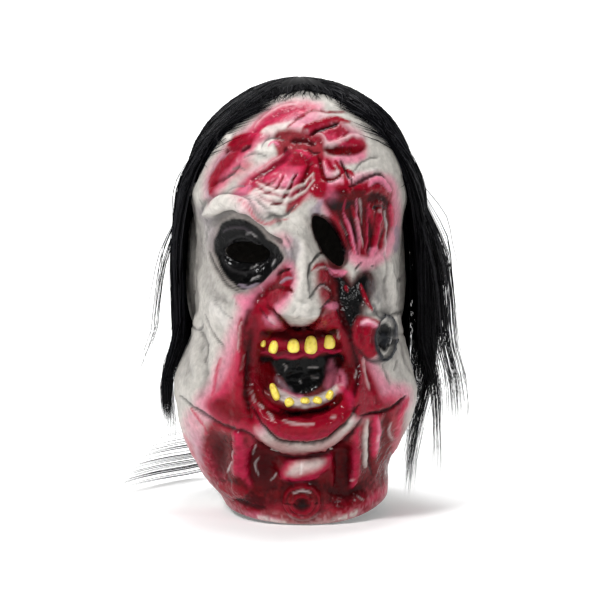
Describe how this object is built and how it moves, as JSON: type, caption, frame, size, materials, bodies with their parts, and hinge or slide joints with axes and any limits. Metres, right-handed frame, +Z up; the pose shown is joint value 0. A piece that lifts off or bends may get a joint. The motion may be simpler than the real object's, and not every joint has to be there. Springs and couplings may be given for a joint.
{
  "type": "zombie mask with hair",
  "caption": "Full-head overhead latex zombie mask with torn painted flesh, gaping toothed mouth, neck bib and long black synthetic hair.",
  "frame": {"origin": "where the crown of the wearer's head meets the inside of the mask", "axes": "+Z up out of the crown, the face looks along -Y, +X is to the right as the face is seen from the front"},
  "size_m": [0.2852, 0.2785, 0.3513],
  "materials": {
    "latex_skin": "cast latex, painted and partly glossed",
    "tooth": "yellow paint, satin",
    "hair_fibre": "long straight synthetic fibre, black"
  },
  "bodies": {
    "root": {"head_shell": "latex_skin", "upper_tooth_1": "tooth", "upper_tooth_2": "tooth", "upper_tooth_3": "tooth", "upper_tooth_4": "tooth", "upper_tooth_5": "tooth", "lower_tooth_1": "tooth", "lower_tooth_2": "tooth", "lower_tooth_3": "tooth", "lower_tooth_4": "tooth", "lower_tooth_5": "tooth", "hair": "hair_fibre"}
  },
  "joints": []
}
